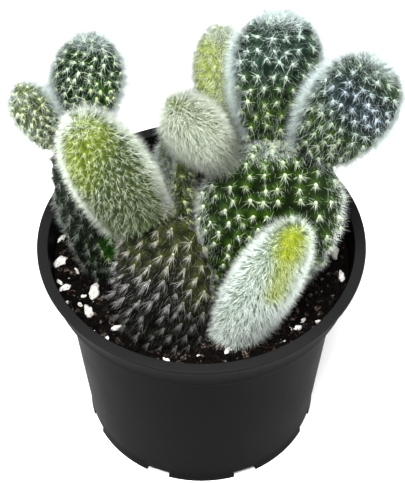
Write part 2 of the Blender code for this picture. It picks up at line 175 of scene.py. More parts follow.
# Looks of a pad, with lengths in mm. Colours are in hundredths, here and in all that follows.
# Skin: "deep" in the valleys, where shade is painted, and "bright" on the tubercles.
# Bristles: colours at the "root" and the "end". "shadow" is how light they stay near the foot.
# "glow" holds the same four colours for patches round the "spots" that the photograph shows: lines
# from one pixel to another, a radius and a strength.
# "tuft" is the bristles at an areole: how many, length, thickness, spread and lean along "hang".
# "nub" is the width of the cushion under them.
# "fuzz" is fine hairs between them: how many, length, thickness, spread, lean and the share that
# only grows at the margin. "down" is their colours, and may have two more for the patches.
LOOKS = {
    "pad_front_base": dict(
        hang=(-0.7, 0, -0.3), deep=(0.08, 0.11, 0.05), bright=(1.3, 1.35, 0.7),
        root=(17, 16.5, 16), end=(52, 52, 53), nub=1, shadow=0.35,
        glow=((0.6, 0.9, 0.1), (5.5, 6.6, 1.6), (28, 27.5, 20), (58, 58, 51)),
        spots=((140, 238, 190, 232, 11, 1), (205, 262, 210, 290, 7, 1)),
        tuft=(34, 5, 0.175, 0.75, 0.9), fuzz=(2600, 3.4, 0.08, 0.6, 0.4, 0.6),
        down=((24, 22, 22), (50, 47, 48))),
    "pad_right_base": dict(
        deep=(0.15, 0.6, 0.01), bright=(4.5, 10, 0.4), root=(44, 49, 34), end=(72, 79, 68),
        nub=1.5, shadow=0.8, glow=((0.4, 1.1, 0.1), (5.5, 10, 2.5), (46, 50, 36), (72, 78, 70)),
        spots=((325, 190, 335, 215, 8, 1), (208, 185, 213, 215, 7, 1)),
        tuft=(36, 4, 0.2, 1.2, 0.45), fuzz=(7000, 4, 0.09, 0.5, 0.1, 0.98),
        down=((62, 68, 62), (88, 93, 89))),
    "pad_left_base": dict(
        deep=(0.1, 0.25, 0.08), bright=(1.7, 3, 1.2), root=(12, 13.5, 10), end=(36, 40, 36), nub=1,
        shadow=0.7, glow=((0.4, 3, 0.1), (5, 16, 1), (46, 56, 24), (72, 80, 60)),
        spots=((111, 243, 113, 255, 3.2, 1),), tuft=(26, 3.8, 0.163, 1.1, 0.4),
        fuzz=(2600, 3.6, 0.08, 0.6, 0.1, 0.97), down=((24, 27, 25), (48, 53, 50))),
    "pad_narrow": dict(
        deep=(0.5, 1, 0.05), bright=(8.5, 12, 1.4), root=(34, 38, 17), end=(70, 75, 58), nub=1.1,
        shadow=0.7, tuft=(24, 3.4, 0.175, 1.1, 0.3), fuzz=(2600, 3, 0.08, 0.6, 0.3, 0.7),
        down=((34, 38, 32), (60, 66, 60))),
    "pad_front_finger": dict(
        deep=(2, 3, 0.9), bright=(7.8, 10.4, 3.8), root=(21, 25, 14), end=(59, 66, 52), nub=0.5,
        shadow=0.5, glow=((5.8, 8.2, 0.7), (20, 25.5, 3.6), (31, 36.5, 14), (78, 85, 61)),
        spots=((71, 168, 86, 124, 7.5, 1),), tuft=(15, 2.9, 0.15, 0.85, 0.25),
        fuzz=(5600, 4.6, 0.145, 0.6, 0.1, 0.95), down=((50, 56, 47), (78, 83, 75))),
    "pad_centre_top": dict(
        deep=(0.2, 0.75, 0.03), bright=(5.5, 10.5, 1), root=(38, 42, 23), end=(68, 75, 64),
        nub=1.3, shadow=0.8, glow=((0.3, 1, 0.6), (4.5, 8, 5.5), (40, 47, 41), (68, 76, 75)),
        spots=((262, 50, 290, 46, 12, 1),), tuft=(29, 3.7, 0.235, 1.45, 0.1),
        fuzz=(9500, 6.2, 0.085, 0.5, 0, 0.97), down=WOOL),
    "pad_right_top": dict(
        deep=(0.3, 0.9, 0.06), bright=(5.5, 10, 2), root=(33, 38, 24), end=(63, 70, 63), nub=1.1,
        shadow=0.8, glow=((0.6, 1.1, 1.1), (5, 7, 8.2), (35, 40, 43), (60, 68, 72)),
        spots=((345, 92, 372, 118, 8, 1),), tuft=(27, 3.4, 0.225, 1.35, 0.1),
        fuzz=(9500, 5.8, 0.085, 0.5, 0, 0.95), down=WOOL),
    "pad_front_young": dict(
        deep=(7, 10.5, 5), bright=(12.5, 17, 8.5), root=(42, 50, 43), end=(88, 93, 86), nub=0,
        shadow=0.9, glow=((12, 14.8, 0.1), (27.5, 31.5, 0.6), (34, 38.5, 3), (74, 80, 34)),
        spots=((292, 240, 289, 254, 4, 1), (286, 256, 275, 292, 3.2, 0.7)),
        tuft=(12, 4.2, 0.163, 0.7, 0), fuzz=(12500, 4.8, 0.165, 0.5, 0.05, 0),
        down=((42, 49, 45), (84, 90, 86), (36, 42, 5), (74, 80, 36))),
    "pad_middle_young": dict(
        deep=(7, 9, 4.5), bright=(19, 22, 13), root=(24, 27.5, 17), end=(74, 78, 66), nub=0.6,
        shadow=0.42, glow=((2, 3, 0.6), (13, 16, 5), (24, 28, 13), (76, 80, 64)),
        spots=((188, 108, 208, 110, 4, 1), (226, 120, 229, 146, 5, 1)),
        tuft=(16, 3, 0.163, 1, 0.35), fuzz=(9500, 5.2, 0.13, 0.55, 0.25, 0.55),
        down=((43, 48, 39), (74, 79, 70))),
    "pad_back_young": dict(
        deep=(8, 10.5, 2.5), bright=(23, 27, 8), root=(38, 43, 20), end=(84, 89, 72), nub=0.6,
        shadow=0.9, glow=((11, 14, 1.6), (28, 33, 6), (38, 43, 15), (84, 89, 66)),
        spots=((205, 62, 205, 80, 6, 1),), tuft=(15, 3, 0.163, 1.1, 0.2),
        fuzz=(10000, 5.6, 0.1, 0.5, 0, 0.8), down=((62, 67, 60), (84, 89, 84))),
    "pad_left_top": dict(
        deep=(0.15, 0.6, 0.1), bright=(3.5, 8, 1.8), root=(42, 48, 31), end=(72, 81, 71), nub=1.1,
        shadow=0.8, glow=((0.4, 1.8, 0.1), (6, 14, 1.2), (44, 50, 26), (74, 81, 62)),
        spots=((98, 92, 106, 100, 4, 1),), tuft=(25, 3.2, 0.225, 1.35, 0.1),
        fuzz=(6500, 5.8, 0.085, 0.5, 0, 0.96), down=WOOL),
    "pad_left_small": dict(
        deep=(2, 3.2, 0.8), bright=(15, 18.5, 7.5), root=(48, 53, 33), end=(80, 86, 74), nub=0.9,
        shadow=0.8, glow=((2.5, 4, 0.8), (16, 20, 6), (46, 50, 30), (74, 79, 66)),
        spots=((28, 88, 34, 98, 4, 1),), tuft=(21, 2.8, 0.205, 1.25, 0.1),
        fuzz=(3600, 5.4, 0.085, 0.5, 0, 0.92), down=WOOL),
    "pad_slim_young": dict(
        deep=(4, 5.2, 2.6), bright=(15, 17.5, 10), root=(38, 43, 33), end=(66, 71, 67), nub=0.5,
        shadow=0.9, tuft=(10, 2.4, 0.163, 1.1, 0.3), fuzz=(2600, 3.2, 0.08, 0.6, 0.1, 0.2),
        down=((42, 48, 44), (66, 72, 70))),
}


# Node helpers


class Tree:
    """A node tree that nodes of any kind are added to."""

    def __init__(self, tree):
        self.tree = tree

    def add(self, kind, inputs=None, **settings):
        """Add a node: settings are set first, then socket values or links, by name or index."""
        node = self.tree.nodes.new(kind)
        for name, value in settings.items():
            setattr(node, name, value)
        for name, value in (inputs or {}).items():
            self.feed(node.inputs[name], value)
        return node

    def feed(self, socket, value):
        if isinstance(value, Number):
            value = value.socket
        if isinstance(value, bpy.types.NodeSocket):
            self.tree.links.new(value, socket)
        else:
            socket.default_value = value


class Number:
    """A shader value that takes part in sums."""

    def __init__(self, tree, socket):
        self.tree = tree
        self.socket = socket

    def maths(self, operation, *others, clamp=False):
        node = self.tree.add("ShaderNodeMath", dict(enumerate((self,) + others)),
                             operation=operation, use_clamp=clamp)
        return Number(self.tree, node.outputs[0])

    def __add__(self, other):
        return self.maths("ADD", other)

    __radd__ = __add__

    def __mul__(self, other):
        return self.maths("MULTIPLY", other)

    def __sub__(self, other):
        return self.maths("SUBTRACT", other)

    def __rsub__(self, other):
        return self * -1 + other

    def clamped(self):
        return self.maths("ADD", 0.0, clamp=True)

    def between(self, low, high):
        """0 below low, 1 above high, and smooth in between."""
        node = self.tree.add("ShaderNodeMapRange",
                             {"Value": self, "From Min": low, "From Max": high},
                             interpolation_type="SMOOTHSTEP")
        return Number(self.tree, node.outputs["Result"])


class Finish(Tree):
    """A Principled material whose patterns are made with nodes."""

    def __init__(self, name, roughness=0.5, specular=0.5):
        self.material = bpy.data.materials.new(name)
        self.material.use_nodes = True
        super().__init__(self.material.node_tree)
        self.shader = self.tree.nodes["Principled BSDF"]
        self.place = self.add("ShaderNodeTexCoord").outputs["Object"]
        self.shader.inputs["Roughness"].default_value = roughness
        self.shader.inputs["Specular IOR Level"].default_value = specular

    def noise(self, size, detail=3.0, roughness=0.55, place=None):
        """Noise from 0 to 1 whose blotches are about size metres wide."""
        inputs = {"Vector": place or self.place, "Scale": 1 / size, "Detail": detail,
                  "Roughness": roughness}
        return Number(self, self.add("ShaderNodeTexNoise", inputs).outputs["Fac"])

    def cells(self, size):
        """Cells about size metres wide, each with its own value."""
        inputs = {"Vector": self.place, "Scale": 1 / size}
        return Number(self, self.add("ShaderNodeTexVoronoi", inputs).outputs["Color"])

    def attribute(self, name):
        return Number(self, self.add("ShaderNodeAttribute", attribute_name=name).outputs["Fac"])

    def height(self):
        split = self.add("ShaderNodeSeparateXYZ", {"Vector": self.place})
        return Number(self, split.outputs["Z"])

    def mix(self, share, low, high):
        """Colour between low and high."""
        node = self.add("ShaderNodeMix", data_type="RGBA")
        for socket, value in (("Factor", share), (6, colour(low)), (7, colour(high))):
            self.feed(node.inputs[socket], value)
        return node.outputs[2]

    def coat(self, share, low, high):
        """Let the surface's colour run from low to high."""
        self.feed(self.shader.inputs["Base Color"], self.mix(share, low, high))

    def roughen(self, roughness):
        self.feed(self.shader.inputs["Roughness"], roughness)

    def bump(self, height, depth, strength=1.0):
        """Relief of a height from 0 to 1, depth metres deep."""
        inputs = {"Height": height, "Distance": depth, "Strength": strength}
        node = self.add("ShaderNodeBump", inputs)
        self.feed(self.shader.inputs["Normal"], node.outputs["Normal"])


def colour(value):
    """Colour for a socket: a link as it is, or red, green and blue in hundredths."""
    return (*(part / 100 for part in value), 1) if isinstance(value, tuple) else value


# Mesh helpers


def new_object(name, mesh):
    made = bpy.data.objects.new(name, mesh)
    bpy.context.scene.collection.objects.link(made)
    return made


def discard(*objects):
    for each in objects:
        bpy.data.objects.remove(each, do_unlink=True)


def mesh_from(name, points, faces, smooth=True):
    mesh = bpy.data.meshes.new(name)
    mesh.from_pydata([tuple(point) for point in points], [], faces)
    mesh.update()
    if smooth:
        mesh.shade_smooth()
    return mesh


def around(radius, turn):
    """Two coordinates on a circle."""
    return radius * math.cos(turn), radius * math.sin(turn)


def ring_faces(rings, count, start=0):
    """Quads between neighbouring rings of count points each."""
    faces = []
    for first in range(start, start + (rings - 1) * count, count):
        for k in range(count):
            a, b = first + k, first + (k + 1) % count
            faces.append((a, b, b + count, a + count))
    return faces


def mesh_of(bm, name):
    """Mesh of a bmesh, which is then freed."""
    mesh = bpy.data.meshes.new(name)
    bm.to_mesh(mesh)
    bm.free()
    return mesh


def store(mesh, name, values):
    """Keep one number a vertex under a name."""
    layer = mesh.attributes.new(name, "FLOAT", "POINT")
    layer.data.foreach_set("value", np.asarray(values, np.float32))


def evaluated_mesh(source, name):
    """Plain mesh of an object's live modifiers."""
    graph = bpy.context.evaluated_depsgraph_get()
    graph.update()
    mesh = bpy.data.meshes.new_from_object(source.evaluated_get(graph))
    mesh.name = name
    return mesh


def settle(piece, slot, node=None, material=None):
    """Let a piece ride on the plant's one body and stand for its CAD node, if it has one."""
    if material:
        piece.data.materials.append(material)
    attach(piece, "root")
    if node:
        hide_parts(node)


# Surface of a pad, for arrays of places u (0 foot, 1 tip) and angles

FOOT_SHARE = 0.06  # length of the round foot, of the pad's
THINNING = 0.8  # how thickness follows width, as a power
TRACK_STEPS, GIRTH_STEPS = 400, 121  # along and round a pad, where distances are measured


def smoothstep(low, high, value):
    t = np.clip((value - low) / (high - low), 0, 1)
    return t * t * (3 - 2 * t)


def unit(vectors):
    return vectors / np.maximum(np.linalg.norm(vectors, axis=-1, keepdims=True), 1e-12)


def run_along(track):
    """Distance from the first point of a track to each of its points."""
    return np.concatenate([[0], np.cumsum(np.linalg.norm(np.diff(track, axis=0), axis=1))])


def pad_centre(spec, u):
    u = np.asarray(u, float)[..., None]
    return spec["base"] + (spec["tip"] - spec["base"]) * u + spec["bow"] * (4 * u * (1 - u))


def pad_heading(spec, u):
    """Direction of a pad's middle line at u, towards the tip."""
    return unit(spec["tip"] - spec["base"] + spec["bow"] * (4 * (1 - 2 * u[..., None])))


def pad_girth(spec, u):
    """Share of the full width at u: a round foot, a shoulder, and an elliptic or blunter tip."""
    u = np.asarray(u, float)
    widest = spec["widest"]
    over = np.clip((u - widest) / (1 - widest), 0, 1)
    tip = (1 - over ** spec["blunt"]) ** (1 / spec["blunt"])
    rise = np.sin(np.pi / 2 * np.clip(u / widest, 0, 1)) ** spec["shoulder"]
    foot = np.sqrt(np.clip(1 - (1 - np.clip(u / FOOT_SHARE, 0, 1)) ** 2, 0, 1))
    return np.where(u > widest, tip, (spec["neck"] + (1 - spec["neck"]) * rise) * foot)


def pad_point(spec, u, angle):
    u = np.asarray(u, float)
    along = pad_heading(spec, u)
    across = unit(spec["across"] - along * (along @ spec["across"])[..., None])
    out = np.cross(across, along)
    girth = pad_girth(spec, u)
    wide = spec["half_width"] * girth * np.cos(angle)
    thick = spec["half_thick"] * girth ** THINNING * np.sin(angle)
    return pad_centre(spec, u) + across * wide[..., None] + out * thick[..., None]


def pad_normal(spec, u, angle):
    low, high = np.clip(u - 0.008, 0.002, 0.99), np.clip(u + 0.008, 0.01, 0.998)
    along = pad_point(spec, high, angle) - pad_point(spec, low, angle)
    round_it = pad_point(spec, u, angle + 0.04) - pad_point(spec, u, angle - 0.04)
    return unit(np.cross(along, round_it))


def even_places(spec, step, lead):
    """Places u a step apart along the skin, between the foot and the tip."""
    u = np.linspace(0, 1, TRACK_STEPS)
    length = np.linalg.norm(spec["tip"] - spec["base"])
    run = run_along(np.stack([pad_girth(spec, u) * spec["half_width"] * 0.7, u * length], -1))
    count = max(int(run[-1] / step), 3)
    targets = (np.arange(count) + lead) * run[-1] / (count + 2 * lead - 1)
    return np.interp(targets, run, u)


def even_angles(spec, u, shares):
    """Angles at shares (0 to 1) of the way around the section at u."""
    angles = np.linspace(0, 2 * np.pi, GIRTH_STEPS)
    run = run_along(pad_point(spec, np.full(GIRTH_STEPS, u), angles))
    return np.interp((shares % 1) * run[-1], run, angles), run[-1]


RING_PITCH = 0.88  # between rings of areoles, in pitches
LEAD = 0.6  # before the first ring and after the last, in steps
STRAY = 0.12  # how far an areole strays from its place, in pitches


def areoles(spec):
    """Staggered rings of areoles, a pitch apart: places u, points and outward directions."""
    draw = np.random.default_rng(spec["seed"])
    length = np.linalg.norm(spec["tip"] - spec["base"])
    places, angles = [], []
    for ring, u in enumerate(even_places(spec, spec["pitch"] * RING_PITCH, LEAD)):
        girth = even_angles(spec, u, np.zeros(1))[1]
        count = max(2 * round(girth / spec["pitch"] / 2), 6)
        shares = (np.arange(count) + 0.5 * (ring % 2) + draw.normal(0, STRAY, count)) / count
        angle = even_angles(spec, u, shares)[0]
        shift = draw.normal(0, STRAY, count) * spec["pitch"] / length
        places.append(np.clip(u + shift, 0.005, 0.995))
        angles.append(angle)
    places, angles = np.concatenate(places), np.concatenate(angles)
    return places, pad_point(spec, places, angles), pad_normal(spec, places, angles)


def full_share(spec, points, u):
    """1 where areoles are full, 0 in the soil, at the foot and at the joints of younger pads."""
    share = smoothstep(0.03, 0.10, u)
    if spec["parent"] is None:
        share = smoothstep(SOIL_Z - 0.5 * MM, SOIL_Z + 2.0 * MM, points[:, 2])
    for child in PADS.values():
        if child["parent"] == spec["name"]:
            reach = child["half_width"] * child["neck"]
            near = np.min([np.linalg.norm(points - pad_centre(child, v), axis=1)
                           for v in (0.0, 0.08, 0.16)], axis=0)
            share = share * smoothstep(reach * 0.3, reach * 0.3 + 0.8 * MM, near)
    return share


SKIN_STEP = 0.62 * MM
MOUND, DIMPLE = 0.34, 0.12  # reach of a tubercle and of the dimple on it, in pitches
DIMPLE_DEPTH, SINK = 0.22, 0.18  # in heights of a tubercle
WOBBLE, WOBBLE_SIZE = 0.25 * MM, 9 * MM


def skin_mesh(spec):
    """Fine skin with a tubercle under each areole, and how near each point is to an areole."""
    places, centres, _ = areoles(spec)
    full = full_share(spec, centres, places)
    tree = kdtree.KDTree(len(centres))
    for k, centre in enumerate(centres):
        tree.insert(centre, k)
    tree.balance()
    rows = even_places(spec, SKIN_STEP, LEAD)
    widest = even_angles(spec, spec["widest"], np.zeros(1))[1]
    columns = max(int(widest / SKIN_STEP), 24)
    shares = np.arange(columns) / columns
    u = np.concatenate([np.repeat(rows, columns), [0.0, 1.0]])
    angle = np.concatenate([even_angles(spec, row, shares)[0] for row in rows] + [[0.0, 0.0]])
    points = pad_point(spec, u, angle)
    normals = pad_normal(spec, u, angle)
    along = unit(spec["tip"] - spec["base"])
    normals[-2], normals[-1] = -along, along
    near = np.empty(len(points))
    nearest = np.empty(len(points), int)
    for k, point in enumerate(points):
        _, nearest[k], distance = tree.find(point)
        near[k] = distance / spec["pitch"]
    uneven = np.random.default_rng(spec["seed"] + 30).uniform(0.75, 1.2, len(centres))
    mound = np.exp(-(near / MOUND) ** 2) * full[nearest]
    dimple = np.exp(-(near / DIMPLE) ** 2) * full[nearest]
    lift = spec["bump"] * (mound * uneven[nearest] - DIMPLE_DEPTH * dimple - SINK)
    wobble = np.array([noise.noise(Vector(point) / WOBBLE_SIZE) for point in points])
    points = points + normals * (lift + WOBBLE * wobble)[:, None]
    faces = ring_faces(len(rows), columns)
    foot, tip = len(points) - 2, len(points) - 1
    last = (len(rows) - 1) * columns
    for k in range(columns):
        following = (k + 1) % columns
        faces += [(following, k, foot), (last + k, last + following, tip)]
    mesh = mesh_from(spec["name"] + "_skin", points, faces)
    store(mesh, "near_areole", mound)
    store(mesh, "along_pad", u)
    store(mesh, "glow", glow_share(spec, points))
    return mesh


GLOW_EDGES = (0.1, 1.9)  # where a patch begins to fade and ends, in radii
PAD_GRID = (90, 120)  # places along and round a pad that on_pad tries


def glow_share(spec, points):
    """1 within the patches that the photograph shows in another colour, 0 far from them."""
    share = np.zeros(len(points))
    for *line, radius, strength in spec["spots"]:
        start, stop = on_pad(spec, line[:2]), on_pad(spec, line[2:])
        span = stop - start
        part = np.clip((points - start) @ span / max(span @ span, 1e-12), 0, 1)
        distance = np.linalg.norm(points - start - part[:, None] * span, axis=1)
        near = 1 - smoothstep(*(edge * radius * MM for edge in GLOW_EDGES), distance)
        share = np.maximum(share, strength * near)
    return share


def on_pad(spec, pixel):
    """Point of a pad's near side that a pixel of the photograph shows."""
    u, turn = (grid.ravel() for grid in np.meshgrid(np.linspace(0.04, 0.99, PAD_GRID[0]),
                                                    np.linspace(0, np.pi * 2, PAD_GRID[1])))
    points = pad_point(spec, u, turn)
    right, upward, forward = (np.array(axis) for axis in (RIGHT, UPWARD, FORWARD))
    offset = points - np.array(POT_AXIS) - (0, 0, RIM_Z)
    depth = VIEW_DISTANCE + offset @ forward
    across = RIM_PIXEL[0] + FOCAL_PIXELS * (offset @ right) / depth
    down = RIM_PIXEL[1] - FOCAL_PIXELS * (offset @ upward) / depth
    away = np.hypot(across - pixel[0], down - pixel[1])
    facing = pad_normal(spec, u, turn) @ forward
    return points[np.argmin(away + np.where(facing > -0.05, 1000.0, 0.0))]


# Tufts


def sprout_tree():
    """Geometry nodes that sprout copies of a hair from points that carry an outward vector."""
    group = bpy.data.node_groups.new("sprout", "GeometryNodeTree")
    sockets = {"Geometry": "Geometry", "Template": "Object", "Copies": "Int", "Length": "Float",
               "Shortest": "Float", "Spread": "Float", "Lean": "Float", "Cushion": "Float",
               "Seed": "Int", "Material": "Material"}
    for name, kind in sockets.items():
        group.interface.new_socket(name, in_out="INPUT", socket_type="NodeSocket" + kind)
    group.interface.new_socket("Geometry", in_out="OUTPUT", socket_type="NodeSocketGeometry")
    tree = Tree(group)
    given = tree.add("NodeGroupInput").outputs

    def made(kind, inputs, **settings):
        return tree.add(kind, inputs, **settings).outputs[0]

    def plus(first, second):
        return made("ShaderNodeVectorMath", {0: first, 1: second}, operation="ADD")

    def scaled(vector, scale):
        return made("ShaderNodeVectorMath", {0: vector, "Scale": scale}, operation="SCALE")

    def times(first, second):
        return made("ShaderNodeMath", {0: first, 1: second}, operation="MULTIPLY")

    def seed(offset):
        return made("FunctionNodeIntegerMath", {0: given["Seed"], 1: offset}, operation="ADD")

    def any_vector(offset):
        return made("FunctionNodeRandomValue", {"Seed": seed(offset), 0: (-1,) * 3, 1: (1,) * 3},
                    data_type="FLOAT_VECTOR")

    def any_share(offset):
        return tree.add("FunctionNodeRandomValue", {"Seed": seed(offset), 2: 0.0, 3: 1.0},
                        data_type="FLOAT").outputs[1]

    def stored(name, kind):
        return tree.add("GeometryNodeInputNamedAttribute", {"Name": name},
                        data_type=kind).outputs["Attribute"]

    points = made("GeometryNodeMeshToPoints", {"Mesh": given["Geometry"]})
    copies = made("GeometryNodeDuplicateElements", {"Geometry": points, "Amount": given["Copies"]},
                  domain="POINT")
    outward, down = stored("outward", "FLOAT_VECTOR"), stored("down", "FLOAT_VECTOR")
    heading = plus(plus(outward, scaled(any_vector(11), given["Spread"])),
                   scaled(down, given["Lean"]))
    moved = made("GeometryNodeSetPosition",
                 {"Geometry": copies, "Offset": scaled(any_vector(23), given["Cushion"])})
    turn = made("FunctionNodeAlignRotationToVector", {"Vector": heading}, axis="Z")
    turn = made("FunctionNodeAlignRotationToVector", {"Rotation": turn, "Vector": down},
                axis="X", pivot_axis="Z")
    share = made("ShaderNodeMapRange", {"Value": any_share(37), "To Min": given["Shortest"]})
    scale = times(times(given["Length"], share), stored("size", "FLOAT"))
    hair = tree.add("GeometryNodeObjectInfo", {"Object": given["Template"]}).outputs["Geometry"]
    planted = made("GeometryNodeInstanceOnPoints",
                   {"Points": moved, "Instance": hair, "Rotation": turn, "Scale": scale})
    marked = made("GeometryNodeStoreNamedAttribute",
                  {"Geometry": planted, "Name": "shade", "Value": any_share(41)},
                  data_type="FLOAT", domain="INSTANCE")
    real = made("GeometryNodeRealizeInstances", {"Geometry": marked})
    dressed = made("GeometryNodeSetMaterial", {"Geometry": real, "Material": given["Material"]})
    tree.add("NodeGroupOutput", {0: dressed})
    return group


def hair_template(name, stout, bend):
    """Three-sided hair of length 1, as thick as given at its root, that leans towards +X."""
    points = [(*around(0.5 * stout, turn), 0) for turn in (0, 2 * math.pi / 3, 4 * math.pi / 3)]
    points.append((bend, 0, 1))
    faces = [(0, 1, 3), (1, 2, 3), (2, 0, 3), (2, 1, 0)]
    template = new_object(name, mesh_from(name, points, faces))
    store(template.data, "along_hair", [point[2] for point in points])
    return template


def nub_template(name):
    """Low round cushion of width 1."""
    bm = bmesh.new()
    bmesh.ops.create_icosphere(bm, subdivisions=1, radius=0.5)
    for vert in bm.verts:
        vert.co *= 1 + 0.25 * noise.noise(vert.co * 3)
        vert.co.z *= 0.8
    mesh = mesh_of(bm, name)
    mesh.shade_smooth()
    template = new_object(name, mesh)
    store(mesh, "along_hair", [0.1 + 0.7 * vert.co.z for vert in mesh.vertices])
    return template


def sprout(spec, ending, places, template, **values):
    """One mesh of hairs at places: points with the vectors and numbers that they carry."""
    name = spec["name"] + ending
    source = new_object(name + "_places", mesh_from(name + "_places", places["points"], [], False))
    for key in ("outward", "down"):
        layer = source.data.attributes.new(key, "FLOAT_VECTOR", "POINT")
        layer.data.foreach_set("vector", places[key].astype(np.float32).ravel())
    for key in ("size", "glow", "along_pad", "sunlit"):
        store(source.data, key, places[key])
    values |= {"Template": template, "Seed": spec["seed"] * 100}
    made = new_object(name, grow(name, source, spec["group"], values))
    discard(template)
    for key in ("outward", "down", "size"):
        made.data.attributes.remove(made.data.attributes[key])
    settle(made, spec["slot"])


def grow(name, source, group, values):
    """Mesh that a geometry nodes group makes on a source object, which is then removed."""
    modifier = source.modifiers.new("grow", "NODES")
    modifier.node_group = group
    for item in group.interface.items_tree:
        if item.in_out == "INPUT" and item.name in values:
            modifier[item.identifier] = values[item.name]
    mesh = evaluated_mesh(source, name)
    discard(source)
    return mesh


UP_AND_BACK = np.array((0.0, 0.76, 0.65))  # the light side, where the wool is longest
TILT, TUFT_SIZES = 0.16, (0.8, 1.15)  # how far areoles tilt, and how their sizes vary
BRISTLE_BEND, FUZZ_BEND = 0.14, 0.12  # in lengths
FUZZ_STEP = 0.25 * MM
FUZZ_COLUMNS = 64
# painted shade: how far down is painted greyer where it faces the light
DOWN_LIGHT_SIDE_SHADE = 0.45  # how much duller down is on the light side


def places_on(spec, u, points, outward, size):
    """What sprout needs to know about each place."""
    down = unit(-0.7 * pad_heading(spec, u) + np.array(spec["hang"]))
    return {"points": points, "outward": outward, "down": down, "size": size,
            "glow": glow_share(spec, points), "along_pad": u,
            "sunlit": smoothstep(0.45, 0.95, outward @ UP_AND_BACK)}


def areole_places(spec):
    u, points, outward = areoles(spec)
    full = full_share(spec, points, u)
    points = points + outward * (spec["bump"] * 0.5)
    draw = np.random.default_rng(spec["seed"] + 70)
    outward = unit(outward + draw.normal(0, TILT, outward.shape))
    size = (0.7 + 0.3 * full) * draw.uniform(*TUFT_SIZES, len(u))
    places = places_on(spec, u, points, outward, size)
    return {key: values[full > 0.3] for key, values in places.items()}


def fuzz_places(spec, count, margin_only):
    """Random places on the skin, of which a share keeps to the margin and the tip."""
    draw = np.random.default_rng(spec["seed"] + 50)
    rows = even_places(spec, FUZZ_STEP, LEAD)
    grid = np.arange(FUZZ_COLUMNS) / FUZZ_COLUMNS
    tables, around = zip(*(even_angles(spec, row, grid) for row in rows))
    tables, around = np.array(tables), np.array(around)
    found, total, tries = [], 0, 4 * count
    while total < count:
        row = draw.choice(len(rows), tries, p=around / around.sum())
        turn = tables[row, draw.integers(FUZZ_COLUMNS, size=tries)] + draw.normal(0, 0.05, tries)
        u = np.clip(rows[row] + draw.normal(0, 0.004, tries), 0.01, 0.995)
        edge = np.maximum(np.abs(np.cos(turn)) ** 7, smoothstep(0.85, 0.98, u))
        behind = smoothstep(0.5, 0.9, pad_normal(spec, u, turn) @ UP_AND_BACK)
        edge = np.maximum(edge, behind * smoothstep(0.35, 0.7, u))
        keep = draw.uniform(size=tries) < 1 - margin_only + margin_only * edge ** 2
        u, turn = u[keep], turn[keep]
        points = pad_point(spec, u, turn)
        full = full_share(spec, points, u) > 0.4
        found.append((u[full], turn[full], points[full]))
        total += full.sum()
    u, turn, points = (np.concatenate(part)[:count] for part in zip(*found))
    places = places_on(spec, u, points, pad_normal(spec, u, turn), np.ones(count))
    places["size"] -= 0.4 * places["glow"] * (1 - margin_only)
    return places


def make_tufts(spec):
    """Cushions and bristles at the areoles, and fine fuzz between them."""
    bristly = hair_material(spec["name"] + "_hair", spec["root"], spec["end"], spec["glow"][2:],
                            spec["shadow"], 0.0)
    downy = hair_material(spec["name"] + "_down", *spec["down"][:2], spec["down"][-2:],
                          spec["shadow"], DOWN_LIGHT_SIDE_SHADE)
    at_areoles = areole_places(spec)
    if spec["nub"]:
        sprout(spec, "_nubs", at_areoles, nub_template("nub"), Copies=1, Shortest=0.8, Spread=0.1,
               Lean=0.0, Length=spec["nub"] * MM, Cushion=0.0, Material=bristly)
    copies, length, thick, spread, lean = spec["tuft"]
    sprout(spec, "_bristles", at_areoles, hair_template("bristle", thick / length, BRISTLE_BEND),
           Copies=copies, Shortest=0.2, Spread=spread, Lean=lean, Length=length * MM,
           Cushion=max(spec["nub"], 0.8) * 0.3 * MM, Material=bristly)
    count, length, thick, spread, lean, margin_only = spec["fuzz"]
    sprout(spec, "_fuzz", fuzz_places(spec, count, margin_only),
           hair_template("fuzz", thick / length, FUZZ_BEND), Copies=1, Shortest=0.55,
           Spread=spread, Lean=lean, Length=length * MM, Cushion=0.0, Material=downy)


# Materials


def skin_material(spec):
    """Waxy green skin: deep between the tubercles as painted shade, bright on them, another green
    in patches.
    """
    finish = Finish(spec["name"] + "_skin", specular=0.12)
    near = finish.attribute("near_areole")
    glow = finish.attribute("glow")
    blotch = finish.noise(6 * MM)
    grain = finish.noise(0.8 * MM, detail=5)
    # painted shade: darker between the tubercles and lighter on them, with blotches and grain
    # besides
    bright = (near * 0.75 + blotch * 0.55 + grain * 0.3 - 0.38).clamped()
    plain = finish.mix(bright, spec["deep"], spec["bright"])
    patch = finish.mix(bright, *spec["glow"][:2])
    finish.coat((glow + blotch * 0.4 - 0.2).clamped() * glow.between(0, 0.3), plain, patch)
    finish.roughen(0.5 + grain * 0.25)
    finish.bump(grain, 0.15 * MM, 0.5)
    return finish.material


def hair_material(name, root, end, patch_colours, shadow, light_side_shade):
    """Pale hairs, darker at the root, with painted shade towards the pad's foot and on the light
    side, in two tints.
    """
    finish = Finish(name, roughness=0.7, specular=0.15)
    along = finish.attribute("along_hair")
    shade = finish.attribute("shade")
    share = (along * 1.2 + shade * 0.5 - 0.25).clamped()
    plain = finish.mix(share, root, end)
    patch = finish.mix(share, *patch_colours)
    both = finish.mix(finish.attribute("glow"), plain, patch)
    low = 1 - finish.attribute("along_pad").between(0.1, 0.6)
    both = finish.mix(low * (1 - shadow), both, (3, 2.7, 2))
    # painted shade: hairs that face the light side are painted duller and greyer
    finish.coat(finish.attribute("sunlit") * light_side_shade, both, (10, 11.5, 11.8))
    return finish.material


